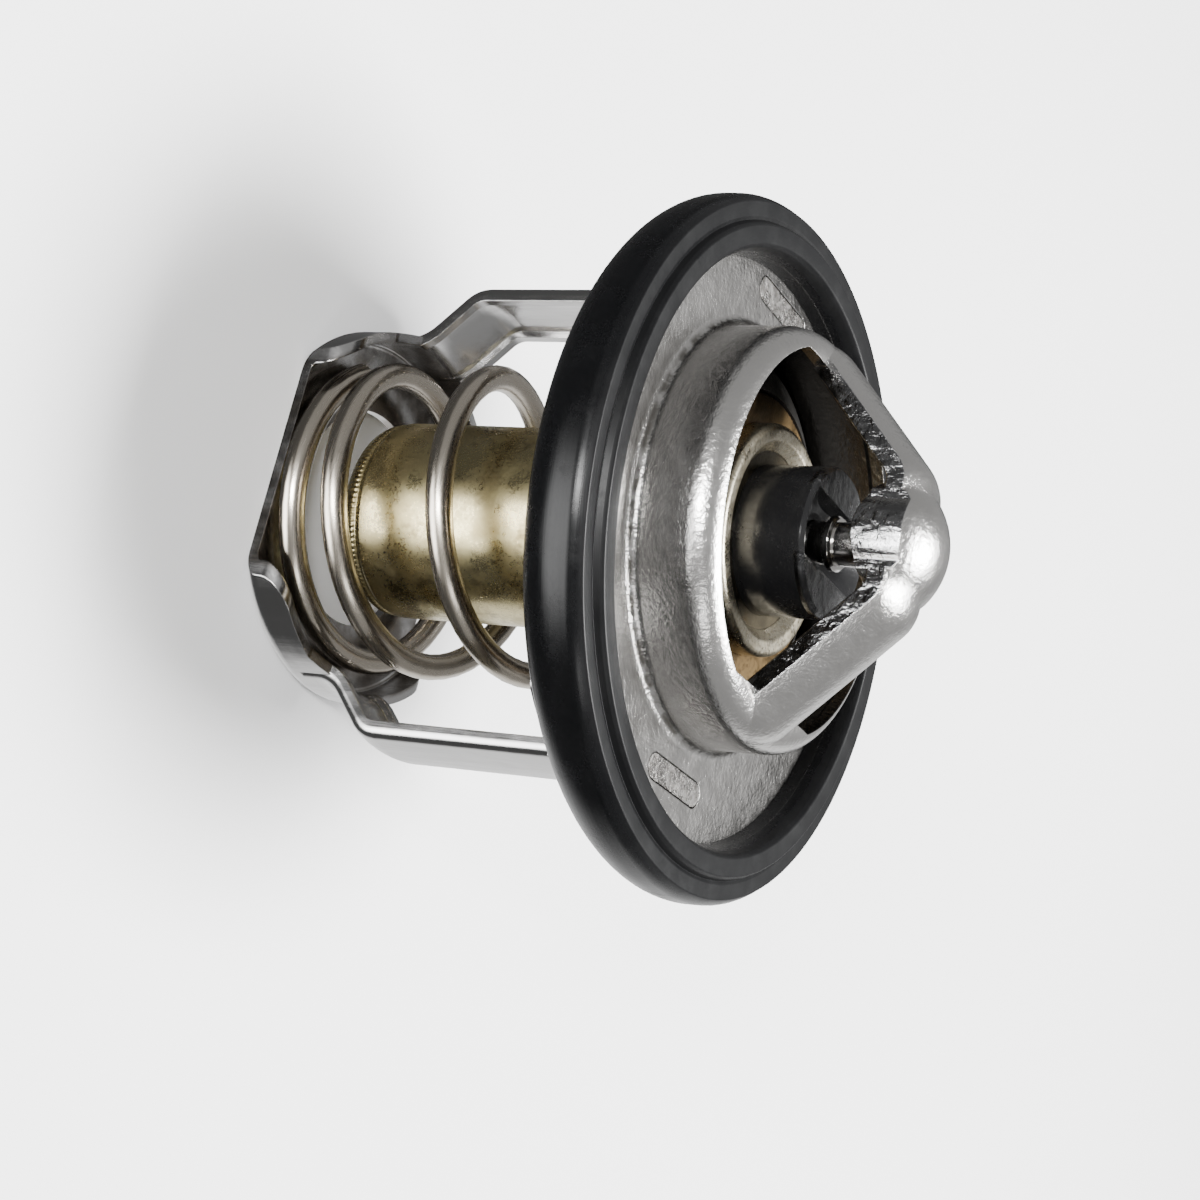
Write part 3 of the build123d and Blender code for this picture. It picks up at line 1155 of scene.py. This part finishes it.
@dataclass
class WaxElement:
    """Cup, guide, wax and the small pieces between them, in millimetres.

    Args:
        radius: radius of the cup.
        end: height of its closed end.
        waist: height of the groove above the ribs.
        bore: radius of its bore.
        chamber: radius of the wax.
        ledge: height of the ledge that the membrane sits on.
        head: height of the bottom of the collar.
        guide: height of the guide's top.
        top: height of the collar's top.
        collar: radius of the collar.
        mouth: radius of the collar's mouth.
    """

    radius: float = 8.3
    end: float = 3.9
    waist: float = 5.9
    bore: float = 7.45
    chamber: float = 6.85
    ledge: float = 24.9
    head: float = 38.42
    guide: float = 39.52
    top: float = 40.35
    collar: float = 9.26
    mouth: float = 7.95

    def cup(self, shop: Workshop) -> None:
        """Builds the cup with its ribbed end, groove and rolled collar, in place of its solid.

        Args:
            shop: puts meshes and finishes on the frame.
        """
        outline = [
            (0.0, self.end + 0.15, 0.0),
            (self.radius - 2.4, self.end, 1.0),
            (self.radius - 0.18, self.end + 0.25, 1.3),
            (self.radius - 0.14, self.waist - 0.3, 0.1),
            (self.radius - 0.24, self.waist, 0.12),
            (self.radius, self.waist + 0.35, 0.15),
            (self.radius, self.head, 0.0),
            (self.collar, self.head, 0.12),
            (self.collar, self.top, 0.55),
            (self.mouth, self.top, 0.15),
            (self.mouth - 0.9, self.guide, 0.0),
            (self.bore, self.guide, 0.0),
            (self.bore, self.ledge, 0.0),
            (self.chamber, self.ledge, 0.0),
            (self.chamber, 5.95, 1.7),
            (0.0, 5.95, 0.0),
        ]
        finish = StainedBrass(
            "cup_brass", (0.50, 0.435, 0.245), (0.34, 0.28, 0.14), 0.24, 0.40,
            edge_mm=0.08, pale_z=0.0385, ribs_low=0.0044, ribs_high=0.0057,
        )
        shop.add("wax_cup", shop.turned(outline, 144), finish, Body.VALVE, "element_cup", "cup_brass")

    def build(self, shop: Workshop) -> None:
        """Builds the cup, then dresses what is held inside.

        Args:
            shop: puts meshes and finishes on the frame.
        """
        self.cup(shop)
        # painted shade: the guide's brass is near black to stand in for the shadow in the collar's recess
        guide = StainedBrass(
            "guide_brass", (0.07, 0.06, 0.04), (0.04, 0.034, 0.022), 0.34, 0.50, painted_highlight=(0.09, 0.075, 0.05)
        )
        shop.dress("element_guide", guide)
        wax = Finish("wax_fill", (0.36, 0.20, 0.11), (0.28, 0.15, 0.08), 0.4, 0.6, metallic=0.0, grain_mm=0.6)
        shop.dress("wax_charge", wax)
        for node in ("membrane", "plug"):
            black, grey = (0.018, 0.018, 0.018), (0.03, 0.03, 0.03)
            shop.dress(node, MouldedRubber(f"{node}_rubber", black, grey, 0.5, 0.65, metallic=0.0))
        washer = Finish("washer_plastic", (0.72, 0.72, 0.69), (0.60, 0.60, 0.56), 0.4, 0.6, metallic=0.0)
        shop.dress("plug_washer", washer)


@dataclass
class PistonAndBoot:
    """Steel pin and the rubber sleeve round it."""

    def build(self, shop: Workshop) -> None:
        """Dresses both.

        Args:
            shop: puts meshes and finishes on the frame.
        """
        pin = Finish(
            "piston_steel", (0.70, 0.69, 0.67), (0.52, 0.50, 0.47), 0.08, 0.18,
            grain_mm=0.3, depth_mm=0.002, edge_mm=0.08, streaks=Streaks.ROUND_THE_AXIS,
        )
        shop.dress("piston", pin)
        boot = MouldedRubber(
            "boot_rubber", (0.0065, 0.0065, 0.007), (0.012, 0.012, 0.012), 0.16, 0.26,
            metallic=0.0, gloss=0.5, dust=0.12, chunks_mm=0.5, edge_mm=0.12,
        )
        shop.dress("boot", boot)


@dataclass
class Studio:
    """Floor, lights and camera.

    Args:
        lens_mm: lens length on a 36 mm sensor.
        eye: where the camera stands, in millimetres.
        right: which way the picture's right side points.
        down: which way its lower side points.
        forward: which way the camera looks.
        ambient: brightness of the room.
        below: brightness of what is under the horizon, seen only in reflections.
        front: brightness of the panel in front.
        behind: brightness of the panel behind.
    """

    lens_mm: float = 78.0
    eye: Triple = (-67.7, 173.4, 127.9)
    right: Triple = (0.2269, -0.4318, 0.8729)
    down: Triple = (-0.9286, -0.3661, 0.0603)
    forward: Triple = (0.2936, -0.8243, -0.4840)
    ambient: float = 0.45
    below: float = 0.12
    front: float = 13.0
    behind: float = 1.6

    def camera(self) -> None:
        """Sets the camera where the photograph was taken from."""
        data = bpy.data.cameras.new("view")
        data.lens = self.lens_mm
        data.sensor_width = 36.0
        data.clip_start = 0.01
        right, down, forward = (Vector(way) for way in (self.right, self.down, self.forward))
        camera = bpy.data.objects.new("view", data)
        bpy.context.scene.collection.objects.link(camera)
        turn = Matrix((right, -down, -forward)).transposed().to_4x4()
        camera.matrix_world = Matrix.Translation(Vector(self.eye) * MM) @ turn
        bpy.context.scene.camera = camera

    def surroundings(self) -> None:
        """Pale room above, dark below, with a bright panel in front and a soft one behind."""
        world = bpy.data.worlds.new("studio")
        world.use_nodes = True
        n = Nodes(world.node_tree)
        way = n.add("ShaderNodeTexCoord").outputs["Generated"]
        room = n.band(n.split(way)[2], -0.14, 0.0, self.below, self.ambient)
        front = n.band(n.aligned(way, (-0.29, 0.82, -0.48)), 0.86, 0.99, 0.0, self.front)
        behind = n.band(n.aligned(way, (-0.29, -0.82, -0.48)), 0.70, 0.95, 0.0, self.behind)
        background = world.node_tree.nodes["Background"]
        background.inputs[0].default_value = (1.0, 1.0, 1.0, 1.0)
        n.feed(background.inputs[1], n.math("ADD", room, n.math("ADD", front, behind)))
        bpy.context.scene.world = world

    def floor(self) -> None:
        """Lays a plain pale floor, which stays out of the reflections."""
        bm = bmesh.new()
        bmesh.ops.create_grid(bm, x_segments=4, y_segments=4, size=3.0)
        mesh = bpy.data.meshes.new("floor")
        bm.to_mesh(mesh)
        bm.free()
        floor = bpy.data.objects.new("floor", mesh)
        bpy.context.scene.collection.objects.link(floor)
        material = bpy.data.materials.new("floor")
        material.use_nodes = True
        bsdf = material.node_tree.nodes["Principled BSDF"]
        bsdf.inputs["Base Color"].default_value = (0.94, 0.94, 0.94, 1.0)
        bsdf.inputs["Roughness"].default_value = 0.95
        bsdf.inputs["Specular IOR Level"].default_value = 0.1
        mesh.materials.append(material)
        floor.visible_glossy = False

    def light(self, name: str, at: Triple, size: tuple[float, float], power: float, spread: float = 180.0) -> None:
        """Hangs a soft light that faces the object.

        Args:
            name: its name.
            at: its place in metres.
            size: its sides in metres.
            power: its power in watts.
            spread: angle in degrees that it shines into.
        """
        data = bpy.data.lights.new(name, "AREA")
        data.shape = "RECTANGLE"
        data.size, data.size_y = size
        data.energy = power
        data.spread = math.radians(spread)
        lamp = bpy.data.objects.new(name, data)
        bpy.context.scene.collection.objects.link(lamp)
        lamp.location = at
        aim = Vector((0.0, -0.08, 0.0)) if spread < 180.0 else Vector((0.0, 0.0, 0.027))
        lamp.rotation_euler = (aim - Vector(at)).to_track_quat("-Z", "Y").to_euler()

    def build(self) -> None:
        """Sets up the studio."""
        self.camera()
        self.floor()
        self.surroundings()
        self.light("top", (0.0, -0.26, 0.80), (0.45, 0.45), 8.5, 90.0)
        self.light("key", (-0.03, 0.42, 0.17), (0.08, 0.20), 3.6)
        self.light("fill", (-0.5, 0.25, 0.35), (0.12, 0.30), 0.7)


def main() -> None:
    """Sets up the studio and builds every sub-assembly in order."""
    logging.basicConfig(level=logging.INFO)
    Studio().build()
    shop = Workshop(Effects())
    for assembly in (Housing(), SealRing(), LowerFrame(), MainSpring(), Valve(), WaxElement(), PistonAndBoot()):
        assembly.build(shop)
        LOG.info("finished %s", type(assembly).__name__)


if __name__ == "__main__":
    main()
